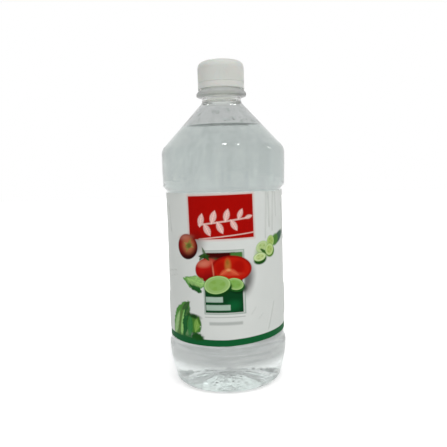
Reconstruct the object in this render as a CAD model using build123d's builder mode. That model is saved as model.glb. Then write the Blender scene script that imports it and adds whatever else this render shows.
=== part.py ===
"""Vinegar bottle: a clear blow-moulded bottle with a screw cap, a wrap-round
label and its filling.  Millimetres, +Z up, front towards -Y, origin at the
middle of the foot."""

from build123d import *
import os
from math import hypot, sqrt

os.makedirs("parts", exist_ok=True)

# ---------------------------------------------------------------- body sizes
wall = 0.5                  # thickness of the blown wall
panel_radius = 38.7         # waist that carries the label
panel_height = 96.2         # straight length of that waist
foot_width = 4.4            # width of the flat ring that the bottle stands on
heel_radius = 5.5           # round between the foot and the side
push_up = 7.0               # how far the middle of the base is domed in
push_up_round = 2.0         # round between the dome and the foot ring
low_bumper_crest = 26.0     # height of the widest line of the lower bumper
low_bumper_proud = 1.3      # how far that line stands out past the waist
low_bumper_belly = 0.9      # how much the lower bumper bows out
heel_in = 3.4               # how far the heel stands in from that line
low_bumper_fall = 6.2       # height in which the lower bumper falls to the waist
shoulder_step = 3.3         # height in which the waist steps out to the shoulder band
shoulder_foot_proud = 1.9   # shoulder band past the waist, at its foot
shoulder_proud = 2.35       # and at its top
shoulder_band = 24.2        # height of the shoulder band, to the sharp corner
shoulder_belly = 0.12       # how much that band bows out
shoulder_round = 8.0        # round of the shoulder corner
cone_height = 30.4          # from the shoulder corner up to the neck
throat_round = 2.5          # round where the cone meets the neck

# ---------------------------------------------------- neck finish, 28 mm type
bore_radius = 10.87         # inside of the neck
neck_wall = 2.23            # neck under and over the support ring
finish_wall = 1.6           # neck between the threads
neck_length = 3.6           # from the cone up to the ring
ring_proud = 3.4            # support ring, past the neck
ring_edge = 1.8             # height of the ring's upright rim
ring_under = 0.6            # rise of its underside
ring_slope = 1.8            # height of its sloping top
ring_top_proud = 1.9        # where that slope ends, past the neck
bead_proud = 0.85           # bead that holds the tamper band, past the neck
bead_height = 1.6
bead_above_ring = 4.0       # from the ring's top to the bead's underside
finish_height = 21.0        # from the ring's underside to the mouth
thread_depth = 1.2
thread_pitch = 3.18
thread_above_bead = 2.95    # bare neck between the bead and the thread
thread_below_mouth = 0.8    # and between the thread and the mouth
thread_root_width = 1.6
thread_crest_width = 0.7
thread_rooting = 0.3        # how deep a thread is rooted in its wall

# ------------------------------------------------------------------ cap sizes
cap_wall = 1.4              # thickness of the skirt
cap_gap = 0.25              # running clearance of the cap round the thread and bead
cap_lift = 0.7              # gap between the support ring and the cap's lower edge
cap_panel = 2.0             # thickness of the top at its rim
cap_dome = 1.0              # how much the top is domed
cap_edge_round = 4.2        # round of its upper edge
band_height = 3.9           # tamper band, below the slit
slit_height = 0.35
bridge_count = 8
bridge_width = 1.2
lip_height = 1.6            # lip inside the band that catches under the bead
lip_gap = 0.45              # clearance of that lip round the neck
knurl_count = 120
knurl_depth = 0.22
knurl_width = 0.45          # across the mouth of each groove
knurl_stop = 0.5            # plain height left at each end of the knurls
plug_length = 2.5           # seal that enters the bore
plug_wall = 0.8
plug_gap = 0.15

# ------------------------------------------------------- label and fill sizes
label_thickness = 0.2
label_gap = 0.2             # left bare at each end of the waist
label_rise = 3.9            # how far the lower edge climbs on the right side
overlap_width = 9.0         # glued overlap at the back
overlap_thickness = 0.15
fill_above_shoulder = 14.6  # level of the vinegar above the shoulder corner

# -------------------------------------------------- levels, from the foot up
panel_foot_z = low_bumper_crest + low_bumper_fall
panel_top_z = panel_foot_z + panel_height
band_foot_z = panel_top_z + shoulder_step
corner_z = band_foot_z + shoulder_band
fill_z = corner_z + fill_above_shoulder
neck_z = corner_z + cone_height
ring_z = neck_z + neck_length
ring_edge_z = ring_z + ring_under
ring_slope_z = ring_edge_z + ring_edge
ring_top_z = ring_slope_z + ring_slope
bead_z = ring_top_z + bead_above_ring
mouth_z = ring_z + finish_height
bead_top_z = bead_z + bead_height
thread_z = bead_top_z + thread_above_bead + thread_root_width / 2
thread_end_z = mouth_z - thread_below_mouth - thread_root_width / 2
thread_height = thread_end_z - thread_z

# --------------------------------------------------------------------- radii
crest_radius = panel_radius + low_bumper_proud
heel_side_radius = crest_radius - heel_in
foot_radius = heel_side_radius - heel_radius
foot_inner = foot_radius - foot_width
band_foot_radius = panel_radius + shoulder_foot_proud
corner_radius = panel_radius + shoulder_proud
neck_radius = bore_radius + neck_wall
ring_radius = neck_radius + ring_proud
bead_radius = neck_radius + bead_proud
root_radius = bore_radius + finish_wall


def body_outline(inset, throat_radius):
    """Half section of the body from the middle of the base up to the throat,
    moved inward by inset: upright stretches by the inset itself, the cone by
    the inset along its own normal.  Gives back the corners to be rounded."""
    cone_run = corner_radius - neck_radius
    slope = cone_height / cone_run
    lean = inset * hypot(cone_run, cone_height) / cone_height
    heel_mid = (heel_radius - inset) * sqrt(0.5)
    low_belly = (heel_side_radius + crest_radius) / 2 - inset + low_bumper_belly
    low_belly_z = (heel_radius + low_bumper_crest) / 2
    high_belly = (band_foot_radius + corner_radius) / 2 - inset + shoulder_belly
    high_belly_z = (band_foot_z + corner_z) / 2

    middle = (0, push_up + inset)
    foot_in = (foot_inner, inset)
    foot_out = (foot_radius, inset)
    heel = (foot_radius + heel_mid, heel_radius - heel_mid)
    heel_side = (heel_side_radius - inset, heel_radius)
    crest = (crest_radius - inset, low_bumper_crest)
    panel_foot = (panel_radius - inset, panel_foot_z)
    panel_top = (panel_radius - inset, panel_top_z)
    band_foot = (band_foot_radius - inset, band_foot_z)
    corner = (corner_radius - inset, corner_z - (lean - inset) * slope)
    throat = (throat_radius, neck_z + (neck_radius - lean - throat_radius) * slope)

    TangentArc(middle, foot_in, tangent=(1, 0))
    Line(foot_in, foot_out)
    ThreePointArc(foot_out, heel, heel_side)
    ThreePointArc(heel_side, (low_belly, low_belly_z), crest)
    Spline(crest, panel_foot, tangents=[(0, 1), (0, 1)])
    Line(panel_foot, panel_top)
    Spline(panel_top, band_foot, tangents=[(0, 1), (0, 1)])
    ThreePointArc(band_foot, (high_belly, high_belly_z), corner)
    Line(corner, throat)
    return foot_in, corner, throat


def corner_of(section, point):
    """The corner of a half section that lies at (radius, height)."""
    return section.vertices().sort_by_distance(Vector(*point))[0]


def thread_outline(wall_radius, crest_radius, start_z):
    """Section of a thread rib that stands on a wall and reaches a crest,
    outward or inward."""
    outward = 1 if crest_radius > wall_radius else -1
    root = wall_radius - outward * thread_rooting
    Polyline(
        (root, start_z - thread_root_width / 2),
        (crest_radius, start_z - thread_crest_width / 2),
        (crest_radius, start_z + thread_crest_width / 2),
        (root, start_z + thread_root_width / 2),
        close=True,
    )


# -------------------------------------------------------------- inside space
# Everything inside the bottle, from the base up to the mouth.  The bottle is
# hollowed with it, and the vinegar fills it up to its level.
with BuildPart() as cavity:
    with BuildSketch(Plane.XZ) as cavity_section:
        with BuildLine():
            foot_in, corner, throat = body_outline(wall, bore_radius)
            Polyline(throat, (bore_radius, mouth_z), (0, mouth_z), (0, push_up + wall))
        make_face()
        fillet(corner_of(cavity_section, foot_in), push_up_round - wall)
        fillet(corner_of(cavity_section, corner), shoulder_round - wall)
        fillet(corner_of(cavity_section, throat), throat_round)
    revolve(axis=Axis.Z)

# ------------------------------------------------------------------- vinegar
with BuildPart() as vinegar:
    add(cavity.part)
    split(bisect_by=Plane.XY.offset(fill_z), keep=Keep.BOTTOM)
vinegar.part.label = "vinegar"
export_step(vinegar.part, "parts/vinegar.step")

# -------------------------------------------------------------------- bottle
ring_low_rim = (ring_radius, ring_edge_z)
ring_high_rim = (ring_radius, ring_slope_z)
with BuildPart() as bottle:
    with BuildSketch(Plane.XZ) as body_section:
        with BuildLine():
            foot_in, corner, throat = body_outline(0, neck_radius)
            Polyline(throat, (neck_radius, ring_z), (0, ring_z), (0, push_up))
        make_face()
        fillet(corner_of(body_section, foot_in), push_up_round)
        fillet(corner_of(body_section, corner), shoulder_round)
        fillet(corner_of(body_section, throat), throat_round)
    revolve(axis=Axis.Z)
    # neck finish: support ring with a sloping top, bead for the tamper band, mouth
    with BuildSketch(Plane.XZ) as finish_section:
        with BuildLine():
            Polyline(
                (0, ring_z),
                (neck_radius, ring_z),
                ring_low_rim,
                ring_high_rim,
                (neck_radius + ring_top_proud, ring_top_z),
                (neck_radius, ring_top_z),
                (neck_radius, bead_z),
                (bead_radius, bead_z),
                (root_radius, bead_top_z),
                (root_radius, mouth_z),
                (0, mouth_z),
                close=True,
            )
        make_face()
        fillet(corner_of(finish_section, ring_high_rim), ring_edge / 2)
        fillet(corner_of(finish_section, ring_low_rim), ring_edge / 3)
    revolve(axis=Axis.Z)
    # one thread that climbs round the finish
    with BuildLine():
        Helix(thread_pitch, thread_height, root_radius, center=(0, 0, thread_z))
    with BuildSketch(Plane.XZ):
        with BuildLine():
            thread_outline(root_radius, root_radius + thread_depth, thread_z)
        make_face()
    sweep(is_frenet=True)
    add(cavity.part, mode=Mode.SUBTRACT)
bottle.part.label = "bottle"
export_step(bottle.part, "parts/bottle.step")

# ----------------------------------------------------------------------- cap
# The cap screws down until its top seals on the mouth.  Its tamper band hangs
# below a slit, held by thin bridges, and catches under the bead.
cap_bore = root_radius + thread_depth + cap_gap
cap_radius = cap_bore + cap_wall
band_bore = bead_radius + cap_gap
lip_radius = neck_radius + lip_gap
cap_foot_z = ring_top_z + cap_lift
cap_rim_z = mouth_z + cap_panel
slit_z = cap_foot_z + band_height
band_top_z = slit_z + slit_height / 2
knurl_foot_z = slit_z + slit_height + knurl_stop
knurl_top_z = cap_rim_z - cap_edge_round - knurl_stop
cap_thread_z = thread_z - thread_pitch / 2
edge_inset = cap_edge_round * (1 - sqrt(0.5))
edge_foot = (cap_radius, cap_rim_z - cap_edge_round)
edge_mid = (cap_radius - edge_inset, cap_rim_z - edge_inset)
dome_foot = (cap_radius - cap_edge_round, cap_rim_z)
dome_top = (0, cap_rim_z + cap_dome)
plug_radius = bore_radius - plug_gap
bridge_length = 2 * (cap_wall + 2 * cap_gap)
with BuildPart() as cap:
    with BuildSketch(Plane.XZ):
        with BuildLine():
            Polyline(
                (0, mouth_z),
                (cap_bore, mouth_z),
                (cap_bore, band_top_z),
                (band_bore, band_top_z),
                (band_bore, bead_z),
                (lip_radius, cap_foot_z + lip_height),
                (band_bore, cap_foot_z),
                (cap_radius, cap_foot_z),
                edge_foot,
            )
            ThreePointArc(edge_foot, edge_mid, dome_foot)
            TangentArc(dome_top, dome_foot, tangent=(1, 0))
            Line(dome_top, (0, mouth_z))
        make_face()
    revolve(axis=Axis.Z)
    # fine knurls for the grip
    with BuildSketch(Plane.XY.offset(knurl_foot_z)):
        with PolarLocations(cap_radius, knurl_count, start_angle=180 / knurl_count):
            Polygon(
                (-knurl_depth, 0),
                (knurl_depth, knurl_width),
                (knurl_depth, -knurl_width),
                align=None,
            )
    extrude(amount=knurl_top_z - knurl_foot_z, mode=Mode.SUBTRACT)
    # seal that enters the bore
    with BuildSketch(Plane.XY.offset(mouth_z)):
        Circle(plug_radius)
        Circle(plug_radius - plug_wall, mode=Mode.SUBTRACT)
    extrude(amount=-plug_length)
    # thread inside, half a pitch from the neck's
    with BuildLine():
        Helix(thread_pitch, thread_height, cap_bore, center=(0, 0, cap_thread_z))
    with BuildSketch(Plane.XZ):
        with BuildLine():
            thread_outline(cap_bore, root_radius + cap_gap, cap_thread_z)
        make_face()
    sweep(is_frenet=True)
    # slit above the tamper band, left whole at the bridges
    with BuildSketch(Plane.XY.offset(slit_z)):
        Circle(cap_radius + cap_gap)
        Circle(cap_bore - cap_gap, mode=Mode.SUBTRACT)
        with PolarLocations((cap_bore + cap_radius) / 2, bridge_count):
            Rectangle(bridge_length, bridge_width, mode=Mode.SUBTRACT)
    extrude(amount=slit_height, mode=Mode.SUBTRACT)
cap.part.label = "cap"
export_step(cap.part, "parts/cap.step")

# --------------------------------------------------------------------- label
# A sheet wrapped once round the waist and glued over itself at the back.  Its
# lower edge is level on the left and climbs on the right.
label_radius = panel_radius + label_thickness
label_foot_z = panel_foot_z + label_gap
label_height = panel_height - 2 * label_gap
beyond = label_radius + overlap_width
beyond_rise = label_rise * beyond / label_radius
with BuildPart() as label:
    with BuildSketch(Plane.XY.offset(label_foot_z)):
        Circle(label_radius)
        Circle(panel_radius, mode=Mode.SUBTRACT)
    extrude(amount=label_height)
    # the end that lies over the other, in the middle of the back
    with BuildSketch(Plane.XY.offset(label_foot_z)):
        Circle(label_radius + overlap_thickness)
        Circle(panel_radius, mode=Mode.SUBTRACT)
        with Locations((0, label_radius)):
            Rectangle(overlap_width, label_radius, mode=Mode.INTERSECT)
    extrude(amount=label_height)
    # nothing below the climbing edge on the right
    with BuildSketch(Plane.XZ):
        with BuildLine():
            Polyline(
                (0, label_foot_z),
                (beyond, label_foot_z + beyond_rise),
                (beyond, label_foot_z - label_rise),
                (0, label_foot_z - label_rise),
                close=True,
            )
        make_face()
    extrude(amount=beyond, both=True, mode=Mode.SUBTRACT)
label.part.label = "label"
export_step(label.part, "parts/label.step")
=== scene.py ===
import bpy
import numpy as np
from mathutils import Matrix, Vector


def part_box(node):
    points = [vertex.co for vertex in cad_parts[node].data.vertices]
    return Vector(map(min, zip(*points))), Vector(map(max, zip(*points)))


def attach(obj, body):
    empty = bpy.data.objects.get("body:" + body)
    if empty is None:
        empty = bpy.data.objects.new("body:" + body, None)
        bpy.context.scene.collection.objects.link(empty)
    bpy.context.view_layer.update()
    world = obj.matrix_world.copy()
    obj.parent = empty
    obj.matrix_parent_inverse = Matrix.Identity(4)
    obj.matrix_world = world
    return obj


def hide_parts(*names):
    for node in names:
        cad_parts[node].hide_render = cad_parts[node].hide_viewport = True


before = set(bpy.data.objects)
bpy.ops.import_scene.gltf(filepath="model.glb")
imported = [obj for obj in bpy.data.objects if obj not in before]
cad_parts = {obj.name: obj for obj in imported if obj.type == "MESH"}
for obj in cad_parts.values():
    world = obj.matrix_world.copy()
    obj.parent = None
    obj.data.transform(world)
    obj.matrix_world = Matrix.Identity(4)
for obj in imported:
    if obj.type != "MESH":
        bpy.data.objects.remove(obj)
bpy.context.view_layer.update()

mm = 0.001
scene = bpy.context.scene
print("frame loaded")


def meshPiece(name, points, faces, sharpAngle=40):
    # points in millimetres and faces as whole arrays; a closed skin whose faces point outwards
    mesh = bpy.data.meshes.new(name)
    mesh.from_pydata((points * mm).tolist(), [], faces)
    mesh.validate()
    mesh.shade_smooth()
    mesh.set_sharp_from_angle(angle=np.radians(sharpAngle))
    piece = bpy.data.objects.new(name, mesh)
    scene.collection.objects.link(piece)
    return piece


def quadGrid(rows, columns):
    # the quads between neighbouring rows of a grid, whose last column meets its first
    across = np.arange(columns)
    up = np.arange(rows - 1)[:, None] * columns
    here = up + across
    nextOne = up + (across + 1) % columns
    return np.stack([here, nextOne, nextOne + columns, here + columns], -1).reshape(-1, 4)


def skinFaces(rows, columns):
    # the faces of a closed skin: quads between its rows, and a fan at each end to a point of its own,
    # which both come after the rows
    around = np.arange(columns)
    after = (around + 1) % columns
    end = rows * columns
    first = np.stack([np.full(columns, end), after, around], -1)
    last = np.stack([np.full(columns, end + 1), end - columns + around, end - columns + after], -1)
    return quadGrid(rows, columns), np.vstack([first, last])


def spun(name, outline, slices, relief=None, warp=None, sharpAngle=40):
    # turns an outline of (radius, height) round the axis: x = r sin(a), y = -r cos(a), z = h.
    # It starts and ends on the axis, so the skin closes in a point at each end.
    # relief(a, r, h, nr, nh) is how far each point moves along its normal (nr, nh), and
    # warp(a, r, h) how far it moves in radius and in height
    radius, height = outline[1:-1].T[:, :, None]
    run = np.gradient(outline, axis=0)[1:-1]
    run = run / np.maximum(np.linalg.norm(run, axis=1, keepdims=True), 1e-9)
    outR, outH = run[:, 1:2], -run[:, 0:1]
    angle = np.linspace(0, 2 * np.pi, slices, endpoint=False)[None, :]
    shift = relief(angle, radius, height, outR, outH) if relief else 0 * angle * radius
    moveR, moveH = warp(angle, radius, height) if warp else (0, 0)
    r = radius + shift * outR + moveR
    h = height + shift * outH + moveH + 0 * angle
    ring = np.stack([r * np.sin(angle), -r * np.cos(angle), h], -1).reshape(-1, 3)
    ends = np.array([[0, 0, outline[0, 1]], [0, 0, outline[-1, 1]]])
    quads, fans = skinFaces(len(outline) - 2, slices)
    return meshPiece(name, np.vstack([ring, ends]), quads.tolist() + fans.tolist(), sharpAngle)


def straight(start, end, spacing):
    # evenly spaced points from start to end, the end left out
    start, end = np.array(start, float), np.array(end, float)
    count = max(1, int(np.ceil(np.linalg.norm(end - start) / spacing)))
    t = np.arange(count)[:, None] / count
    return start + (end - start) * t


def bowed(start, end, sag, spacing):
    # a shallow bow: the straight line plus sag 4 t (1 - t) outwards
    line = straight(start, end, spacing)
    t = np.arange(len(line)) / len(line)
    line[:, 0] += sag * 4 * t * (1 - t)
    return line


def eased(start, end, spacing):
    # radius goes from one value to the other as 3 t^2 - 2 t^3 while the height rises evenly
    line = straight(start, end, spacing)
    t = np.arange(len(line)) / len(line)
    line[:, 0] = start[0] + (end[0] - start[0]) * (3 * t * t - 2 * t ** 3)
    return line


def rounded(before, corner, after, radius, steps=8):
    # the arc of that radius which touches both lines that meet at the corner
    before, corner, after = (np.array(p, float) for p in (before, corner, after))
    a = (before - corner) / np.linalg.norm(before - corner)
    b = (after - corner) / np.linalg.norm(after - corner)
    half = np.arccos(np.clip(a @ b, -1, 1)) / 2
    middle = corner + (a + b) / np.linalg.norm(a + b) * radius / np.sin(half)
    first = corner + a * radius / np.tan(half) - middle
    last = corner + b * radius / np.tan(half) - middle
    turn = np.arctan2(first[0] * last[1] - first[1] * last[0], first @ last)
    t = np.linspace(0, turn, steps)
    c, s = np.cos(t), np.sin(t)
    return middle + np.stack([c * first[0] - s * first[1], s * first[0] + c * first[1]], -1)


def put(tree, kind, *values, **settings):
    # one node: its settings first, then its inputs in order, where a socket is linked and None is left
    made = tree.nodes.new("ShaderNode" + kind)
    for name, value in settings.items():
        setattr(made, name, value)
    for socket, value in zip(made.inputs, values):
        feed(socket, value)
    return made


def feed(socket, value):
    if isinstance(value, bpy.types.NodeSocket):
        socket.id_data.links.new(value, socket)
    elif value is not None:
        socket.default_value = value


def treeOf(values):
    # the node tree of the first value that is a socket
    return next(v for v in values if isinstance(v, bpy.types.NodeSocket)).id_data


def fixed(shader, values):
    # what is the same all over a surface, on the shader's own sockets
    for name, value in values.items():
        shader[name].default_value = value


def calc(operation, *values):
    return put(treeOf(values), "Math", *values, operation=operation).outputs[0]


def times(*factors):
    product = factors[0]
    for factor in factors[1:]:
        product = calc("MULTIPLY", product, factor)
    return product


def timesPlus(value, factor, added):
    return calc("MULTIPLY_ADD", value, factor, added)


def minus(value, other):
    return calc("SUBTRACT", value, other)


def apart(value, other):
    return calc("ABSOLUTE", minus(value, other))


def vectorCalc(operation, *values, output=0):
    return put(treeOf(values), "VectorMath", *values, operation=operation).outputs[output]


def fade(value, start, end, low=0.0, high=1.0):
    # low to high, as 3 t^2 - 2 t^3, while the value runs from start to end
    settings = {"interpolation_type": "SMOOTHSTEP"}
    return put(value.id_data, "MapRange", value, start, end, low, high, **settings).outputs[0]


def blended(factor, first, second, way="MIX"):
    made = put(treeOf((factor, first, second)), "Mix", factor, data_type="RGBA", blend_type=way)
    feed(made.inputs[6], first)
    feed(made.inputs[7], second)
    return made.outputs[2]


def noise(point, scale, detail=2.0, stretch=None):
    if stretch:
        point = vectorCalc("MULTIPLY", point, stretch)
    return put(point.id_data, "TexNoise", point, None, scale, detail).outputs[0]


def newGroup(name, inputs, outputs):
    # an empty node group: its tree, what comes in and what goes out. An input's first value has one
    # number for a plain value, three for a vector and four for a colour
    tree = bpy.data.node_groups.new(name, "ShaderNodeTree")
    for label, value in inputs.items():
        kind = {1: "Float", 3: "Vector", 4: "Color"}[np.size(value)]
        made = tree.interface.new_socket(name=label, in_out="INPUT", socket_type="NodeSocket" + kind)
        made.default_value = value
    for label, kind in outputs.items():
        tree.interface.new_socket(name=label, in_out="OUTPUT", socket_type="NodeSocket" + kind)
    return tree, tree.nodes.new("NodeGroupInput").outputs, tree.nodes.new("NodeGroupOutput").inputs


def place(group, **values):
    # a node group beside the nodes that feed it, its inputs by name
    made = treeOf(values.values()).nodes.new("ShaderNodeGroup")
    made.node_tree = group
    for name, value in values.items():
        feed(made.inputs[name], value)
    return made.outputs


def newMaterial(name):
    made = bpy.data.materials.new(name)
    made.use_nodes = True
    tree = made.node_tree
    return made, tree, tree.nodes["Principled BSDF"].inputs


def raised(shader, height, strength, distance):
    # relief: the height, in units of the distance in metres
    bump = put(shader["Normal"].id_data, "Bump", strength, distance)
    feed(bump.inputs["Height"], height)
    feed(shader["Normal"], bump.outputs[0])


def inkOf(red, green, blue):
    # a printed colour from its 0 to 255 values: c^2.2, near enough, gives the light it sends back
    return tuple((c / 255) ** 2.2 for c in (red, green, blue)) + (1.0,)


bottleSizes = {
    "wall": 0.5, "panelRadius": 38.7, "panelFoot": 32.2, "panelTop": 128.4,
    "footInner": 26.7, "footOuter": 31.1, "heelRound": 5.5, "heelRadius": 36.6, "pushUp": 7.0,
    "crestRadius": 40.0, "crestHeight": 26.0, "crestBelly": 0.9,
    "bandRadius": 40.6, "bandFoot": 131.7, "bandBelly": 0.12,
    "cornerRadius": 41.05, "cornerHeight": 155.9, "cornerRound": 8.0,
    "neckRadius": 13.1, "neckFoot": 186.3, "throatRound": 2.5, "boreRadius": 10.87,
    "ringFoot": 189.9, "ringRadius": 16.5, "ringUnder": 0.6, "ringEdge": 1.8, "ringTop": 194.1,
    "ringTopRadius": 15.0, "beadFoot": 198.1, "beadRadius": 13.95, "finishRadius": 12.47,
    "mouth": 210.9, "threadPitch": 3.18, "threadFoot": 203.45, "threadTurns": 1.84,
    "threadHigh": 1.2, "threadHalf": 0.8, "threadFlank": 0.45, "threadRunOut": 6,
    "flutes": 8, "fluteHigh": 0.6, "fluteInner": 6, "fluteOuter": 25, "slices": 208, "wave": 0.05,
}


def bodyLine(inset, throatRadius):
    # half section of the blown body from the middle of its base up to the throat, moved in by inset:
    # the base is a ball cap, the heel a quarter round, both bumpers shallow bows between S-curves
    # and the shoulder a straight cone
    s = bottleSizes
    reach, rise = s["footInner"], s["pushUp"]
    ball = (reach ** 2 + rise ** 2) / (2 * rise)
    r = np.linspace(0, reach - 1.2, 16)
    base = np.stack([r, rise + inset - ball + np.sqrt(ball ** 2 - r ** 2)], -1)
    run, climb = s["cornerRadius"] - s["neckRadius"], s["neckFoot"] - s["cornerHeight"]
    slope, lean = climb / run, inset * np.hypot(run, climb) / climb
    corner = (s["cornerRadius"] - inset, s["cornerHeight"] - (lean - inset) * slope)
    throat = (throatRadius, s["neckFoot"] + (s["neckRadius"] - lean - throatRadius) * slope)
    crest = (s["crestRadius"] - inset, s["crestHeight"])
    heelTop = (s["heelRadius"] - inset, s["heelRound"])
    panelFoot = (s["panelRadius"] - inset, s["panelFoot"])
    panelTop = (s["panelRadius"] - inset, s["panelTop"])
    bandFoot = (s["bandRadius"] - inset, s["bandFoot"])
    turn = np.linspace(-np.pi / 2, 0, 10)[:-1]
    heel = np.stack([np.cos(turn), np.sin(turn)], -1) * (s["heelRound"] - inset)
    heel = heel + (s["footOuter"], s["heelRound"])
    shoulder = rounded(bandFoot, corner, throat, s["cornerRound"] - inset, 14)
    neckTurn = rounded(corner, throat, (throatRadius, throat[1] + 9), s["throatRound"], 7)
    return np.vstack([
        base,
        rounded(base[-1], (reach, inset), (s["footOuter"], inset), 2 - inset, 5),
        straight((reach + 1, inset), (s["footOuter"], inset), 1.1),
        heel,
        bowed(heelTop, crest, s["crestBelly"], 0.8),
        eased(crest, panelFoot, 0.5),
        straight(panelFoot, panelTop, 4),
        eased(panelTop, bandFoot, 0.3),
        bowed(bandFoot, shoulder[0], s["bandBelly"], 1.1),
        shoulder,
        straight(shoulder[-1], neckTurn[0], 1.0)[1:],
        neckTurn,
    ])


def unevenBlow(angle, height):
    # the slight unevenness of a blown body, in millimetres and always inwards: long soft waves round
    # it and up it, none where the base and the neck are moulded true
    s = bottleSizes
    wave = np.sin(3 * angle + height * 0.05) + np.sin(7 * angle - height * 0.11 + 1.3)
    wave = wave + 0.8 * np.sin(13 * angle + height * 0.23) * np.sin(height * 0.31 + 0.7)
    ease = np.clip((height - 4) / 12, 0, 1) * np.clip((s["neckFoot"] - height) / 18, 0, 1)
    return s["wave"] * ease * (wave / 2.8 - 1)


def bottleRelief(angle, radius, height, outR, outH):
    # the thread, on the outside of the neck only: its line climbs one pitch a turn, its flanks are
    # straight and both its ends run out over a sixth of a turn
    s = bottleSizes
    rise = height - s["threadFoot"]
    along = np.round(rise / s["threadPitch"] - angle / (2 * np.pi)) + angle / (2 * np.pi)
    away = np.abs(rise - along * s["threadPitch"])
    ridge = np.clip((s["threadHalf"] - away) / s["threadFlank"], 0, 1)
    for toEnd in (along, s["threadTurns"] - along):
        ridge = ridge * np.clip(toEnd * s["threadRunOut"], 0, 1)
    outside = (outR > 0.5) & (rise > -2)
    return np.where(outside, s["threadHigh"] * ridge, 0 * radius * angle)


def blownWarp(angle, radius, height):
    # what the body's skins and the vinegar share: uneven blow, and flutes that lift the base as
    # fluteHigh cos^6 of half their count times the angle, from fluteInner to fluteOuter
    s = bottleSizes
    across = np.clip((radius - s["fluteInner"]) / 5, 0, 1) * np.clip((s["fluteOuter"] - radius) / 4, 0, 1)
    flute = s["fluteHigh"] * across * np.cos(s["flutes"] / 2 * angle) ** 6 * (height < 9)
    return unevenBlow(angle, height) * np.clip((radius - 14) / 8, 0, 1), flute


def cornered(*corners):
    # straight runs between (radius, height, round) corners, each turned by an arc of its round
    points = [np.array(c[:2], float) for c in corners]
    made = [points[0][None]]
    for before, here, after, turn in zip(points, points[1:], points[2:], [c[2] for c in corners[1:]]):
        made.append(rounded(before, here, after, turn, 4) if turn else here[None])
    return np.vstack(made + [points[-1][None]])


s = bottleSizes
neck, ring, bead, finish, bore = (s[n + "Radius"] for n in ("neck", "ring", "bead", "finish", "bore"))
ringEdge = s["ringFoot"] + s["ringUnder"]
neckOutside = cornered(
    (neck, s["neckFoot"] + 1.6, 0),
    (neck, s["ringFoot"], 0.4),
    (ring, ringEdge, 0.5),
    (ring, ringEdge + s["ringEdge"], 0.7),
    (s["ringTopRadius"], s["ringTop"], 0.3),
    (neck, s["ringTop"], 0.2),
    (neck, s["beadFoot"], 0.2),
    (bead, s["beadFoot"], 0.3),
    (finish, s["beadFoot"] + 1.6, 0.4),
    (finish, s["threadFoot"] - 1.5, 0),
)
threadZone = straight((finish, s["threadFoot"] - 1.3), (finish, s["mouth"] - 0.6), 0.22)
mouthTurn = cornered(
    (finish, s["mouth"] - 0.6, 0), (finish, s["mouth"], 0.4), (bore, s["mouth"], 0.4),
    (bore, s["mouth"] - 0.8, 0),
)
inside = bodyLine(s["wall"], bore)
bottleLine = np.vstack([
    bodyLine(0, neck), neckOutside, threadZone, mouthTurn,
    straight((bore, s["mouth"] - 2), inside[-1], 3), inside[::-1],
])
bottleShell = spun("bottleShell", bottleLine, s["slices"], bottleRelief, blownWarp)
print("bottle made:", len(bottleShell.data.polygons), "faces")


vinegarSizes = {
    "intoWall": 0.16, "level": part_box("vinegar")[1][2] / mm, "creep": 0.05, "creepReach": 0.6,
}


def vinegarLine():
    # the inside of the bottle, taken a little into its wall, up to the level, where the liquid
    # creeps up the wall: its height over the level falls as creep (1 - t)^3 away from the wall
    v = vinegarSizes
    line = bodyLine(bottleSizes["wall"] - v["intoWall"], bottleSizes["boreRadius"])
    top = v["level"] + v["creep"]
    below = line[:, 1] < top
    last = np.argmin(below)
    low, high = line[last - 1], line[last]
    rim = low + (high - low) * (top - low[1]) / (high[1] - low[1])
    t = np.linspace(0, 1, 10)[1:]
    creep = np.stack([rim[0] - v["creepReach"] * t, v["level"] + v["creep"] * (1 - t) ** 3], -1)
    surface = straight(creep[-1], (0, v["level"]), 2.5)[1:]
    return np.vstack([line[:last], rim[None], creep, surface, [[0, v["level"]]]])


vinegarFill = spun("vinegarFill", vinegarLine(), bottleSizes["slices"], None, blownWarp)
print("vinegar made:", len(vinegarFill.data.polygons), "faces")


labelSizes = {
    "foot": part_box("label")[0][2] / mm, "top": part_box("label")[1][2] / mm, "climb": 2.4,
    "outside": 38.9, "thickness": 0.2, "sink": 0.1, "overlap": 9.0, "overlapThickness": 0.15,
    "pucker": 0.14, "puckerMiddle": 33, "puckerReach": 9, "wave": 0.04,
    "rows": 104, "frontStep": 0.42, "backStep": 1.3, "frontReach": 62.0, "easeSeam": 12, "easeTop": 4,
    "easeEdge": 1.5,
}

# creases of the film, each from (along, height) to (along, height): how proud, how wide, all in mm
creases = [
    ((27.0, 99.0), (28.0, 128.0), 0.52, 0.88), ((30.5, 106.0), (30.0, 128.0), 0.75, 0.72),
    ((33.5, 103.0), (34.5, 128.0), 0.6, 0.8), ((38.0, 112.0), (37.0, 128.0), 0.45, 1.12),
    ((34.0, 57.0), (28.0, 40.0), 0.52, 0.72), ((47.0, 120.0), (52.0, 96.0), 0.52, 1.28),
    ((15.5, 52.0), (18.5, 55.5), 0.38, 0.64), ((20.5, 48.5), (23.5, 51.0), 0.38, 0.64),
    ((-37.0, 79.0), (-50.0, 77.0), 0.45, 0.72), ((-36.0, 76.0), (-48.0, 73.5), 0.38, 0.64),
    ((-45.0, 120.0), (-42.0, 104.0), 0.45, 1.28), ((52.0, 66.0), (60.0, 44.0), 0.52, 1.44),
    ((-58.0, 60.0), (-52.0, 38.0), 0.45, 1.44), ((80.0, 110.0), (86.0, 70.0), 0.45, 1.44),
    ((-84.0, 96.0), (-92.0, 52.0), 0.45, 1.44), ((104.0, 120.0), (108.0, 84.0), 0.38, 1.12),
]


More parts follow.
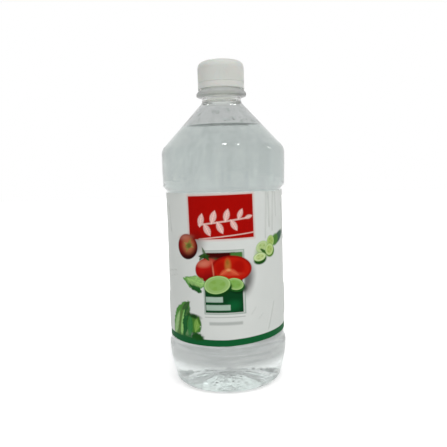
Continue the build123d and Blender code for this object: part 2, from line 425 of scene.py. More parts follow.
def filmLift(along, height):
    # how far the creases stand off the film: for each proud / (1 + (d / wide)^2)^2, with d the
    # distance to its line
    lift = 0 * along * height
    for start, end, proud, wide in creases:
        start, end = np.array(start), np.array(end)
        run = end - start
        t = ((along - start[0]) * run[0] + (height - start[1]) * run[1]) / (run @ run)
        t = np.clip(t, 0, 1)
        away = np.hypot(along - start[0] - t * run[0], height - start[1] - t * run[1])
        lift = lift + proud / (1 + (away / wide) ** 2) ** 2
    return lift


def wrappedLabel():
    # a flat loop, outer face up and inner face down, carried along the wrap. Over the last stretch,
    # where the end lies on the start, the outer face eases up by the overlap's thickness and the
    # inner face leaves the wall, just after it has passed the start's edge
    z = labelSizes
    half = np.pi * z["outside"]
    reach = half + z["overlap"] / 2
    front = z["frontReach"]
    along = np.concatenate([
        np.arange(-reach, -front, z["backStep"]), np.arange(-front, front, z["frontStep"]),
        np.linspace(front, reach, int((reach - front) / z["backStep"])),
    ])[:, None]
    angle = along / z["outside"]
    v = np.linspace(0, 1, z["rows"])[None, :]
    x = z["outside"] * np.sin(angle)
    foot = z["foot"] + z["climb"] * np.clip(x / z["outside"], 0, 1)
    # its top edge is drawn down where the creases meet it: a bell round puckerMiddle, times ripples
    bell = z["pucker"] * np.exp(-((along - z["puckerMiddle"]) / z["puckerReach"]) ** 2)
    puckered = bell * (2 + np.sin(along * 0.9) + np.sin(along * 1.7 + 1))
    top = z["top"] - 0.1 - puckered
    height = foot + (top - foot) * v
    pastEdge = along - half + z["overlap"] / 2
    over = np.clip((pastEdge + 1) / z["easeEdge"], 0, 1)
    under = np.clip((pastEdge - 0.1) / z["easeEdge"], 0, 1)
    folds = filmLift(along, height)
    wave = z["wave"] * (1 + np.sin(along * 0.21 + 0.8) * np.sin(height * 0.13 + along * 0.05))
    lift = (folds + wave) * np.clip((half - np.abs(along)) / z["easeSeam"], 0, 1)
    lift = lift * np.clip((z["top"] + 2 - height) / z["easeTop"], 0, 1)
    laid = z["outside"] + unevenBlow(angle, height)
    outer = laid + lift + z["overlapThickness"] * over
    inner = laid - (z["thickness"] + z["sink"]) * (1 - under)
    loopRadius = np.concatenate([outer, inner[:, ::-1]], 1)
    loopHeight = np.concatenate([height, height[:, ::-1]], 1)
    points = np.stack([loopRadius * np.sin(angle), -loopRadius * np.cos(angle), loopHeight], -1)
    columns, ring = points.shape[:2]
    faces = quadGrid(columns, ring)[:, ::-1].tolist()
    rows = np.arange(z["rows"] - 1)
    startCap = np.stack([rows, rows + 1, ring - 2 - rows, ring - 1 - rows], -1)
    faces += startCap[:, ::-1].tolist()
    faces += (startCap + (columns - 1) * ring).tolist()
    piece = meshPiece("labelWrap", points.reshape(-1, 3), faces, 50)
    side = np.repeat([[0.0] * z["rows"] + [1.0] * z["rows"]], columns, 0)
    wrap = np.stack([along + 0 * loopHeight, loopHeight, side], -1).astype(np.float32)
    mark = piece.data.attributes.new("wrap", "FLOAT_VECTOR", "POINT")
    mark.data.foreach_set("vector", wrap.ravel())
    fold = np.concatenate([folds, folds[:, ::-1]], 1).astype(np.float32)
    piece.data.attributes.new("fold", "FLOAT", "POINT").data.foreach_set("value", fold.ravel())
    return piece


labelWrap = wrappedLabel()
print("label made:", len(labelWrap.data.polygons), "faces")


capSizes = {
    "foot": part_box("cap")[0][2] / mm, "top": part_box("cap")[1][2] / mm, "radius": 15.32, "bore": 13.92,
    "bandBore": 14.2, "lip": 13.55, "lipHigh": 1.6, "lipTop": 2.9, "sealInner": 9.92, "sealOuter": 10.72,
    "sealDeep": 2.5, "slit": 198.8, "slitHeight": 0.16, "slitDepth": 0.3, "bridges": 8, "bridgeWidth": 1.2,
    "knurls": 120, "knurlDepth": 0.22, "knurlHalf": 0.2, "knurlFoot": 199.55, "knurlTop": 208.2,
    "edgeRound": 4.2, "dome": 1.0, "panelFoot": 210.9, "slices": 720,
}


def capLine():
    # up the inside as a dome-topped cup would be lathed: panel, seal ring, bore, lip, foot, outside
    c = capSizes
    out, foot, slit, band = c["radius"], c["foot"], c["slit"], c["bandBore"]
    rim = c["top"] - c["dome"]
    slitTop = slit + c["slitHeight"]
    panel, seal = c["panelFoot"], c["panelFoot"] - c["sealDeep"]
    cupInside = cornered(
        (0, panel, 0), (c["sealInner"], panel, 0.1), (c["sealInner"], seal, 0.2),
        (c["sealOuter"], seal, 0.2), (c["sealOuter"], panel, 0.1), (c["bore"], panel, 0.3),
        (c["bore"], slitTop, 0),
    )
    lipAndFoot = cornered(
        (band, slit, 0), (band, foot + c["lipTop"], 0), (c["lip"], foot + c["lipHigh"], 0.1),
        (band, foot, 0.15), (out, foot, 0.25), (out, slit, 0.08), (out - 0.02, slit, 0),
    )
    slitRows = np.array([[out - 0.02, slitTop], [out, slitTop + 0.06]])
    stops = np.array([[out, c["knurlFoot"] - 0.02], [out, c["knurlFoot"] + 0.25]])
    knurled = straight((out, c["knurlFoot"] + 0.5), (out, c["knurlTop"] - 0.3), 1.4)
    top = np.array([[out, c["knurlTop"] - 0.25], [out, c["knurlTop"] + 0.02]])
    turn = np.linspace(0, np.pi / 2, 16)[:, None]
    across = out - c["edgeRound"]
    edge = np.concatenate([np.cos(turn), np.sin(turn)], 1) * c["edgeRound"] + (across, rim - c["edgeRound"])
    ball = (across ** 2 + c["dome"] ** 2) / (2 * c["dome"])
    r = np.linspace(across, 0, 12)[1:]
    dome = np.stack([r, rim - (ball - c["dome"]) + np.sqrt(ball ** 2 - r ** 2)], -1)
    return np.vstack([cupInside, lipAndFoot, slitRows, stops, knurled, top, edge, dome])


def fromNearest(angle, count):
    # how far round the cap, in millimetres, a place is from the nearest of evenly spaced ones
    pitch = 2 * np.pi / count
    return np.abs((angle + pitch / 2) % pitch - pitch / 2) * capSizes["radius"]


def capRelief(angle, radius, height, outR, outH):
    # V grooves round the skirt and none on the tamper band: each is knurlDepth (1 - d / knurlHalf)
    # deep, with d the distance from its middle
    c = capSizes
    onSkirt = (outR > 0.5) & (radius > c["radius"] - 0.1)
    onSkirt = onSkirt & (height > c["knurlFoot"]) & (height < c["knurlTop"])
    groove = np.clip(1 - fromNearest(angle, c["knurls"]) / c["knurlHalf"], 0, 1)
    return -c["knurlDepth"] * groove * onSkirt


def capWarp(angle, radius, height):
    # the slit: the two rows at its mouth go in between the bridges
    c = capSizes
    inSlit = (np.abs(radius - c["radius"] + 0.02) < 0.001) & (height >= c["slit"] - 0.01)
    inSlit = inSlit & (height <= c["slit"] + c["slitHeight"] + 0.01)
    away = fromNearest(angle, c["bridges"])
    gap = np.clip((away - c["bridgeWidth"] / 2) / 0.2, 0, 1)
    return -c["slitDepth"] * gap * inSlit, 0 * angle


cap = spun("screwCap", capLine(), capSizes["slices"], capRelief, capWarp, 30)
print("cap made:", len(cap.data.polygons), "faces")


dropSizes = {
    "count": 110, "least": 0.3, "most": 1.2, "flat": 0.25, "long": 1.35, "inNeck": 0.7, "low": 172.5,
    "high": 197.0, "around": 10, "rings": 6, "seed": 11, "lowMore": 1.3, "smallMore": 2.5,
}


def wallDrops():
    # beads of vinegar on the inside of the cone and neck: each a ball squashed along the wall's
    # normal and pulled out a little down the slope, half of it sunk in the wall
    d = dropSizes
    picked = np.random.default_rng(d["seed"])
    line = inside[(inside[:, 1] > d["low"] - 1) & (inside[:, 0] < 40)]
    line = np.vstack([line, [bottleSizes["boreRadius"], d["high"]]])
    height = d["low"] + (d["high"] - d["low"]) * picked.random(d["count"]) ** d["lowMore"]
    radius = np.interp(height, line[:, 1], line[:, 0])
    steps = np.arange(165, 200)
    slope = np.gradient(np.interp(steps, line[:, 1], line[:, 0]))
    lean = np.arctan(-np.interp(height, steps, slope))
    angle = picked.random(d["count"]) * 2 * np.pi
    size = d["least"] + (d["most"] - d["least"]) * picked.random(d["count"]) ** d["smallMore"]
    size = size * np.where(height > bottleSizes["neckFoot"], d["inNeck"], 1.0)
    columns, rows = d["around"], d["rings"]
    around = np.linspace(0, 2 * np.pi, columns, endpoint=False)
    down = np.linspace(0, np.pi, rows + 2)[1:-1, None]
    ball = np.stack([np.sin(down) * np.cos(around), np.sin(down) * np.sin(around) * d["long"],
                     np.cos(down) * d["flat"] + 0 * around], -1).reshape(-1, 3)
    ball = np.vstack([ball, [[0, 0, d["flat"]], [0, 0, -d["flat"]]]])
    sideways = np.stack([np.cos(angle), np.sin(angle), 0 * angle], -1)
    outward = np.stack([np.sin(angle), -np.cos(angle), 0 * angle], -1)
    up = np.array([[0, 0, 1.0]])
    normal = -outward * np.cos(lean)[:, None] - up * np.sin(lean)[:, None]
    along = np.cross(normal, sideways)
    middle = outward * radius[:, None] + up * height[:, None]
    points = middle[:, None] + size[:, None, None] * (
        ball[None, :, :1] * sideways[:, None] + ball[None, :, 1:2] * along[:, None]
        + ball[None, :, 2:] * normal[:, None])
    step = (np.arange(d["count"]) * len(ball))[:, None, None]
    faces = []
    for kind in skinFaces(rows, columns):
        faces += (kind[:, ::-1] + step).reshape(-1, kind.shape[1]).tolist()
    return meshPiece("wallDrops", points.reshape(-1, 3), faces, 80)


drops = wallDrops()
print("drops made:", dropSizes["count"])


def makeSurfaceGrain():
    # fine and broad unevenness, 0 to 1, at a point in millimetres
    inputs = {"Point": (0, 0, 0), "Fine": 2.0, "Broad": 0.08}
    tree, given, out = newGroup("surfaceGrain", inputs, {"Fine": "Float", "Broad": "Float"})
    feed(out["Fine"], noise(given["Point"], given["Fine"], 3))
    feed(out["Broad"], noise(given["Point"], given["Broad"], 2))
    return tree


def makeHandling():
    # masks of rubbing: short fine scratches, and dust that has settled in soft patches
    inputs = {"Point": (0, 0, 0), "Scratches": 0.5, "Dust": 0.5}
    tree, given, out = newGroup("handling", inputs, {"Scratches": "Float", "Dust": "Float"})
    point = given["Point"]
    long = noise(point, 1.0, 1, (1.9, 1.9, 0.07))
    patchy = noise(point, 0.11, 1)
    line = fade(apart(long, 0.5), 0.014, 0.0)
    feed(out["Scratches"], times(line, fade(patchy, 0.5, 0.66), given["Scratches"]))
    patch = fade(noise(point, 0.06, 3), 0.45, 0.75)
    specks = fade(noise(point, 1.4, 2), 0.55, 0.75)
    feed(out["Dust"], times(patch, specks, given["Dust"]))
    return tree


inkNames = {"slice": ("Skin", "Flesh", "Core"), "tomato": ("Red", "Dark", "Glint")}


def makeField(kind, paint):
    # the group for one kind of printed shape, which puts out its mask and its colour. A place is
    # measured from the shape's middle and turned with it, in its half sizes:
    # right = (dx cos t + dy sin t) / half, rise = (dy cos t - dx sin t) / half, far = |right, rise|
    inputs = dict.fromkeys(
        ("Along", "Up", "MiddleAlong", "MiddleUp", "HalfAlong", "HalfUp", "Turn", "Soft"), 1.0)
    inputs.update(dict.fromkeys(inkNames.get(kind, ("Ink",)), inkOf(120, 120, 120)))
    tree, given, out = newGroup(kind + "Field", inputs, {"Mask": "Float", "Colour": "Color"})
    x = minus(given["Along"], given["MiddleAlong"])
    y = minus(given["Up"], given["MiddleUp"])
    c, s = calc("COSINE", given["Turn"]), calc("SINE", given["Turn"])
    right = timesPlus(x, c, times(y, s))
    rise = minus(times(y, c), times(x, s))
    right = calc("DIVIDE", right, given["HalfAlong"])
    rise = calc("DIVIDE", rise, given["HalfUp"])
    far = calc("SQRT", timesPlus(right, right, times(rise, rise)))
    mask, ink = paint(given, right, rise, far)
    feed(out["Mask"], mask)
    feed(out["Colour"], ink)
    return tree


def insideOval(far, soft):
    # 1 inside an oval and 0 outside it: faded where the distance passes 1
    return fade(far, calc("ADD", 1.0, soft), minus(1.0, soft))


def insideEdge(room, soft):
    # 1 where there is room left to the edge, faded over the softness to both sides of it
    return fade(room, times(soft, -1.0), soft)


def paintOval(given, right, rise, far):
    return insideOval(far, given["Soft"]), given["Ink"]


def paintBlock(given, right, rise, far):
    # the room left on each axis is (1 - |q|) half
    masks = []
    for away, half in ((right, given["HalfAlong"]), (rise, given["HalfUp"])):
        masks.append(insideEdge(times(minus(1.0, calc("ABSOLUTE", away)), half), given["Soft"]))
    return times(*masks), given["Ink"]


def paintLeaf(given, right, rise, far):
    # inside where |rise| < 1 - right^2, its middle rib where |rise| is small, side ribs as waves
    # that lean towards the tip
    side = calc("ABSOLUTE", rise)
    mask = insideEdge(minus(minus(1.0, times(right, right)), side), given["Soft"])
    wave = timesPlus(side, -8.0, times(right, 16.0))
    wave = times(fade(calc("SINE", wave), 0.55, 1.0), 0.6)
    ribs = calc("MAXIMUM", fade(side, 0.16, 0.04), wave)
    light = blended(1.0, given["Ink"], (1.7, 1.6, 1.6, 1), "MULTIPLY")
    return mask, blended(times(ribs, 0.6), given["Ink"], light)


def paintSlice(given, right, rise, far):
    # a cut slice: skin at the rim, pale flesh, a wetter core with three clusters of seeds
    turn = calc("ARCTAN2", rise, right)
    clusters = fade(calc("COSINE", times(turn, 3.0)), -0.1, 0.8)
    ring = times(fade(far, 0.12, 0.3), fade(far, 0.66, 0.5))
    ink = blended(fade(far, 0.72, 0.55), given["Flesh"], given["Core"])
    ink = blended(times(ring, clusters, 0.4), ink, inkOf(120, 160, 60))
    ink = blended(fade(far, 0.82, 0.92), ink, inkOf(176, 208, 136))
    ink = blended(fade(far, 0.93, 1.0), ink, given["Skin"])
    return insideOval(far, given["Soft"]), ink


def paintTomato(given, right, rise, far):
    # a round fruit: lit from the upper left, dark at the lower rim, a soft glint near its top
    lit = timesPlus(rise, 0.94, times(right, -0.35))
    ink = blended(fade(lit, -1.0, 0.5), given["Dark"], given["Red"])
    ink = blended(times(fade(far, 0.6, 1.05), 0.55), ink, given["Dark"])
    x = timesPlus(right, 2.0, 0.6)
    y = timesPlus(rise, 3.4, -1.8)
    spot = calc("SQRT", timesPlus(x, x, times(y, y)))
    ink = blended(times(fade(spot, 1.6, 0.2), 0.5), ink, given["Glint"])
    return insideOval(far, given["Soft"]), ink


surfaceGrain = makeSurfaceGrain()
handling = makeHandling()
paints = {"oval": paintOval, "block": paintBlock, "leaf": paintLeaf, "slice": paintSlice,
          "tomato": paintTomato}
fields = {kind: makeField(kind, paint) for kind, paint in paints.items()}
print("node groups made")


# every shape of the print, from the bottom layer up: kind, middle (along, height) and half sizes in
# mm, turn in degrees, softness of its edge in mm, strength and its inks; torn ones have ragged edges
film = (217, 220, 216)
sprigInk = (222, 186, 178)
sprigLeaves = [
    (-14.5, 111.4, 4.4, 2.0, 78), (-10.5, 105.6, 4.4, 2.0, -62), (-6.5, 113.2, 4.4, 2.0, 74),
    (-2.4, 106.8, 4.2, 1.9, -64), (1.8, 114.2, 4.2, 1.9, 76), (6.2, 108.2, 4.0, 1.8, -60),
    (10.2, 114.8, 3.6, 1.6, 66), (15.6, 112.9, 2.8, 1.2, 14),
]
printShapes = [
    # red block with a bare sprig in it
    ("block", -2.1, 113.2, 22, 14.4, 1, 0.9, 0.8, (216, 190, 184)),
    ("block", -2.1, 113.2, 20.9, 13.35, 1, 0.3, 1, (166, 17, 12)),
    ("block", 1.5, 101.55, 17.8, 0.36, 5.6, 0.25, 0.9, (225, 190, 180)),
    ("block", -1, 110.4, 15.5, 0.5, 7, 0.3, 0.9, sprigInk),
    *[("leaf", *leaf, 0.5, 0.9, sprigInk) for leaf in sprigLeaves],
    # dark tomato over the block's corner
    ("oval", -18.6, 97.5, 5.5, 6.5, 0, 4, 0.5, (70, 22, 18)),
    ("tomato", -25.3, 94.7, 8.1, 8, 0, 0.4, 1, (146, 24, 20), (44, 10, 8), (150, 60, 50)),
    ("oval", -26.5, 100.6, 4.6, 1.6, 6, 1.5, 0.5, (206, 140, 120)),
    ("oval", -24.4, 95.6, 4.4, 4.7, 0, 2.4, 0.85, (186, 112, 76)),
    ("leaf", -24, 95.6, 4.6, 1.3, 65, 0.5, 0.8, (124, 122, 60)),
    ("leaf", -23.9, 95.8, 3.9, 1.2, -20, 0.5, 0.8, (140, 136, 70)),
    ("leaf", -24.2, 95.4, 3.7, 1.2, 20, 0.5, 0.8, (112, 114, 52)),
    ("oval", -23.6, 95.4, 1.4, 1.5, 0, 0.9, 0.8, (86, 96, 44)),
    # framed green panel with two pale rules, and the soft shade beside it
    ("oval", 13.2, 73.6, 4.4, 8.6, -16, 3.2, 0.85, (84, 80, 78)),
    ("block", -0.8, 72.9, 13.3, 20.2, 0.6, 0.25, 0.85, (150, 166, 156)),
    ("block", -0.8, 72.9, 12.6, 19.5, 0.6, 0.25, 0.9, (203, 206, 200)),
    ("block", -1.2, 72.6, 12, 18.7, 0.6, 0.25, 1, (18, 64, 35)),
    ("oval", 5, 58.4, 4, 3, 12, 2.4, 0.8, (22, 96, 54)),
    ("block", -7.2, 62.2, 5.4, 1.7, 0.6, 0.35, 0.8, (184, 206, 190)),
    ("block", -4.9, 57.1, 7.7, 1.7, 0.6, 0.35, 0.8, (184, 206, 190)),
    ("block", -0.8, 51, 12.9, 0.25, 0.6, 0.3, 0.5, (120, 128, 122)),
    ("block", -0.2, 47, 10.6, 1, 0.6, 0.7, 0.42, (96, 106, 100)),
    ("block", -2.5, 89.8, 9, 1.7, 0.6, 0.6, 1, (62, 12, 10)),
    ("block", 7.4, 89.6, 3.8, 1.9, 0.6, 0.8, 1, (72, 118, 58)),
    # whole tomato with its stem, then the halved one
    ("tomato", -10.5, 80.7, 8.8, 7.4, 4, 0.4, 1, (186, 30, 24), (120, 12, 16), (226, 150, 120)),
    ("oval", -11.6, 85.6, 4.6, 1.5, 18, 1.5, 0.55, (206, 112, 92)),
    ("leaf", -13, 89.4, 3.8, 1.3, 5, 0.4, 1, (38, 60, 26)),
    ("leaf", -12.6, 91.2, 4.2, 0.8, 114, 0.4, 0.9, (66, 90, 54)),
    ("leaf", -11.4, 88.6, 2.8, 1, -50, 0.4, 0.95, (40, 70, 30)),
    ("leaf", -14.6, 88.6, 2.8, 1, 52, 0.4, 0.9, (48, 78, 36)),
    ("oval", 4.2, 81.4, 12.8, 8.2, -2, 0.4, 1, (140, 18, 14)),
    ("oval", 4.4, 81.3, 11.7, 7.2, -2, 0.8, 1, (186, 32, 18)),
    ("oval", -7.4, 80.5, 0.5, 4.4, 6, 0.4, 0.7, (222, 128, 104)),
    ("oval", -2.6, 81.5, 3.2, 4.4, 15, 1.4, 0.9, (166, 20, 12)),
    ("oval", 8.4, 82.2, 3.8, 4.2, -12, 1.4, 0.9, (168, 20, 12)),
    ("oval", 1.8, 83.6, 1.7, 3.6, 0, 1.2, 0.75, (182, 124, 60)),
    ("leaf", -0.4, 79.4, 3.4, 1.3, 35, 0.9, 0.7, (212, 104, 70)),
    ("leaf", 5, 79.4, 4, 1.3, 148, 0.9, 0.7, (214, 104, 72)),
    ("oval", 2.2, 80.6, 1.2, 0.7, 0, 0.6, 0.7, (220, 166, 110)),
    ("oval", 1.6, 85.4, 0.9, 1.4, 0, 0.8, 0.7, (128, 96, 34)),
    ("oval", 4.2, 78, 5.2, 1, 0, 0.9, 0.6, (204, 84, 58)),
    # torn leaves and two slices in front
    ("tornLeaf", -21, 72.6, 8.8, 4, -12, 0.5, 1, (92, 146, 74)),
    ("tornLeaf", -20, 69.4, 5.6, 2.4, -32, 0.5, 1, (34, 84, 38)),
    ("tornLeaf", -19.5, 73.2, 7.8, 3, -10, 0.9, 0.9, (146, 188, 112)),
    ("oval", 7, 69.8, 6.4, 3.8, -14, 1, 0.9, (10, 40, 20)),
    ("oval", 6.3, 70.7, 5.8, 3.8, -14, 0.3, 1, (34, 84, 34)),
    ("slice", 6, 71.8, 5.6, 3.7, -14, 0.3, 1, (60, 118, 46), (146, 184, 106), (126, 172, 86)),
    ("oval", -4.5, 69.4, 8.6, 5.4, 10, 0.5, 1, (22, 62, 26)),
    ("slice", -5.2, 71.4, 8.6, 5.7, 10, 0.3, 1, (70, 128, 52), (148, 184, 110), (138, 178, 94)),
    # long lettuce leaves at the lower left
    ("tornLeaf", -33.6, 46.5, 15.8, 7.6, 60, 0.6, 1, (80, 136, 62)),
    ("tornOval", -33.5, 39.6, 9.4, 5.4, 0, 1, 0.95, (92, 134, 80)),
    ("leaf", -38.4, 43.4, 9.6, 2.4, 67, 0.8, 0.9, (150, 188, 126)),
    ("leaf", -34.2, 45.6, 12, 1.4, 73, 0.6, 0.9, (88, 118, 62)),
    ("leaf", -31.9, 43.8, 10, 1.7, 78, 0.6, 0.9, (146, 198, 116)),
    ("tornLeaf", -28.8, 46.5, 12, 2.6, 80, 0.6, 1, (36, 92, 48)),
    ("leaf", -28.2, 56.6, 5, 1.7, 40, 0.6, 1, (60, 94, 52)),
    ("leaf", -26.8, 52.8, 4, 1.4, 52, 0.6, 0.9, (70, 106, 60)),
    ("tornOval", -22, 45.4, 5.4, 6.4, 0, 0.8, 1, (72, 124, 50)),
    ("leaf", -25, 43.6, 8, 2.2, 86, 0.7, 0.9, (54, 120, 66)),
    ("leaf", -19.4, 45.8, 5.6, 2.2, 74, 0.7, 0.9, (124, 166, 80)),
    ("oval", -21.8, 50.8, 5, 1.4, -8, 0.8, 0.9, (24, 58, 24)),
    ("leaf", -17.6, 47.6, 3.4, 1, 112, 0.5, 0.9, (60, 104, 40)),
    # cut cucumber on the right
    ("oval", 42, 98, 8.2, 3.1, 22, 0.8, 1, (62, 92, 72)),
    ("oval", 37.6, 96.8, 4.4, 3.5, 30, 0.8, 0.95, (78, 126, 50)),
    ("oval", 27, 91, 7.4, 5, 20, 1.6, 0.7, (140, 172, 98)),
    ("slice", 25, 93.6, 4.6, 3.4, 18, 0.5, 1, (160, 186, 116), (188, 206, 152), (178, 200, 134)),
    ("slice", 32.8, 96.4, 3.6, 3.7, 0, 0.4, 1, (122, 152, 62), (172, 196, 118), (162, 188, 102)),
    ("oval", 32.2, 90.2, 4.3, 3.9, 0, 0.6, 1, (84, 126, 44)),
    ("leaf", 26.4, 90.4, 3.6, 1, -34, 0.4, 0.95, (36, 82, 26)),
    ("slice", 31.5, 91.2, 3.9, 3.8, 0, 0.4, 1, (124, 158, 72), (188, 208, 140), (172, 196, 112)),
    ("oval", 23.6, 85.5, 5, 2.9, 8, 0.5, 1, (36, 78, 30)),
    ("slice", 23.2, 87.3, 4.9, 2.7, 6, 0.35, 1, (130, 162, 84), (202, 218, 164), (188, 208, 138)),
]
overStripe = [
    ("tornOval", -19.8, 37.6, 4.8, 2.6, 0, 0.8, 1, (32, 78, 32)),
    ("tornOval", -28.5, 36.4, 7, 1.1, 0, 0.9, 0.8, (36, 92, 48)),
]
stripe = {"tall": 4.1, "ink": (26, 92, 52), "tear": 3.4, "shift": 0.75}
ruled = {
    "middle": 88, "half": (13.5, 13.2), "pitch": 4.2, "thick": (0.1, 0.06), "top": (103, 102.5),
    "foot": (52, 52.5), "strength": 0.55, "ink": (110, 128, 116),
}
sidePanels = [  # bare panels with ruled lines, and a second red block on the back
    ("block", -88, 82, 17, 36, 0, 0.25, 0.9, (150, 166, 156)),
    ("block", -88, 82, 16.4, 35.4, 0, 0.25, 1, (206, 208, 203)),
    ("block", 88, 82, 17, 36, 0, 0.25, 0.9, (20, 84, 44)),
    ("block", 88, 82, 16.3, 35.3, 0, 0.25, 1, (206, 208, 203)),
    ("block", 88, 112, 16.3, 5.2, 0, 0.25, 1, (20, 84, 44)),
    ("block", -88, 111, 13, 4, 0, 0.25, 1, (164, 14, 9)),
]


def printOver(ink, shapes, flat, torn):
    # lays each shape over the ink below it
    for kind, x, y, halfX, halfY, turn, soft, strength, *inks in shapes:
        along, up = torn if kind.startswith("torn") else flat
        kind = kind.removeprefix("torn").lower()
        reach = {"block": 1.0, "leaf": halfY}.get(kind, min(halfX, halfY))
        named = {name: inkOf(*c) for name, c in zip(inkNames.get(kind, ("Ink",)), inks)}
        made = place(fields[kind], Along=along, Up=up, MiddleAlong=x, MiddleUp=y, HalfAlong=halfX,
                     HalfUp=halfY, Turn=float(np.radians(turn)), Soft=soft / reach, **named)
        ink = blended(times(made["Mask"], strength), ink, made["Colour"])
    return ink


def labelFilm():
    made, tree, shader = newMaterial("labelFilm")
    wrap = put(tree, "Attribute", attribute_name="wrap").outputs["Vector"]
    along, up, side = put(tree, "SeparateXYZ", wrap).outputs
    flat = (calc("ADD", along, stripe["shift"]), up)
    # ragged edges: both coordinates pushed about by up to tear x noise
    tear = put(tree, "SeparateXYZ", put(tree, "TexNoise", wrap, None, 0.42, 2.0).outputs[1])
    torn = [timesPlus(minus(push, 0.5), stripe["tear"], straightOn)
            for push, straightOn in zip(tear.outputs, flat)]
    ink = printOver(inkOf(*film), sidePanels, flat, torn)
    # ruled lines of the side panels: thin where the height has just passed a whole pitch
    rule = calc("FRACT", calc("DIVIDE", up, ruled["pitch"]))
    rule = times(fade(rule, *ruled["thick"]), fade(up, *ruled["top"]))
    rule = times(rule, fade(up, *ruled["foot"]))
    onPanel = apart(calc("ABSOLUTE", along), ruled["middle"])
    rule = times(rule, fade(onPanel, *ruled["half"], 0.0, ruled["strength"]))
    ink = blended(rule, ink, inkOf(*ruled["ink"]))
    ink = printOver(ink, printShapes, flat, torn)
    # stripe along the lower edge, which climbs as climb sin(along / radius) on the right
    z = labelSizes
    edge = calc("SINE", calc("DIVIDE", along, z["outside"]))
    edge = timesPlus(calc("MAXIMUM", edge, 0.0), z["climb"], z["foot"] + stripe["tall"])
    inStripe = fade(minus(up, edge), 0.25, -0.15)
    ink = blended(inStripe, ink, inkOf(*stripe["ink"]))
    ink = printOver(ink, overStripe, flat, torn)
    grain = place(surfaceGrain, Point=wrap, Fine=1.6, Broad=0.05)
    uneven = timesPlus(grain["Fine"], 0.4, times(grain["Broad"], 0.6))
    ink = blended(uneven, ink, (0.86, 0.87, 0.87, 1), "MULTIPLY")
    # darker along the creases: painted shade in the folds, with some dust
    fold = put(tree, "Attribute", attribute_name="fold").outputs["Fac"]
    ink = blended(fade(fold, 0.06, 0.5, 0.0, 0.75), ink, (0.80, 0.80, 0.79, 1), "MULTIPLY")
    plainBack = fade(side, 0.4, 0.6)
    feed(shader["Base Color"], blended(plainBack, ink, inkOf(196, 200, 197)))
    # the thin film lets light through, so its inner face glows a little
    glow = blended(0.35, (1, 1, 1, 1), ink)
    feed(shader["Emission Color"], blended(plainBack, (0, 0, 0, 1), glow))
    worn = place(handling, Point=wrap, Scratches=0.5, Dust=0.3)
    rough = timesPlus(grain["Fine"], 0.12, 0.42)
    feed(shader["Roughness"], timesPlus(worn["Scratches"], 0.15, rough))
    raised(shader, timesPlus(worn["Scratches"], -0.5, grain["Fine"]), 0.35, 0.00004)
    fixed(shader, {"Emission Strength": 1.0, "IOR": 1.5, "Specular IOR Level": 0.03})
    return made


def objectPoint(tree):
    # the point in millimetres in the piece's own frame
    return vectorCalc("MULTIPLY", put(tree, "TexCoord").outputs["Object"], (1000, 1000, 1000))


def fromAxis(point):
    return vectorCalc("LENGTH", vectorCalc("MULTIPLY", point, (1, 1, 0)), output=1)


plasticLook = {
    # tints of the wall, painted shade and light by zone standing in for the grey seen through it; the lit
    # ones carry painted streaks of reflected light
    "thin": (0.665, 0.69, 0.68, 1), "thinPale": (0.71, 0.735, 0.725, 1), "low": (0.48, 0.488, 0.48, 1),
    "lowTintLit": (0.545, 0.553, 0.545, 1), "cone": (0.65, 0.665, 0.66, 1), "neck": (0.95, 0.955, 0.945, 1),
    "ring": (0.80, 0.81, 0.79, 1), "base": (0.98, 0.985, 0.98, 1), "waves": 0.9, "ringHaze": 0.4,
    # heights in mm between which one zone of the wall turns into the next
    "upright": (60, 120), "lowEnd": (60, 40), "coneStart": (167, 174), "coneEnd": (187, 183),
    "neckStart": (184, 189), "baseTop": (22, 13), "wavesEnd": (186, 180), "dimplesEnd": (12, 8),
    # heights in mm and how far to each side they reach
    "ringMiddle": 192.4, "ringReach": (3.4, 2.4), "bumper": 25.0, "corner": 151.5, "rubReach": (4.0, 0.5),
    "seam": 0.3, "seamReach": (0.35, 0.05), "dimples": 2.0,
}


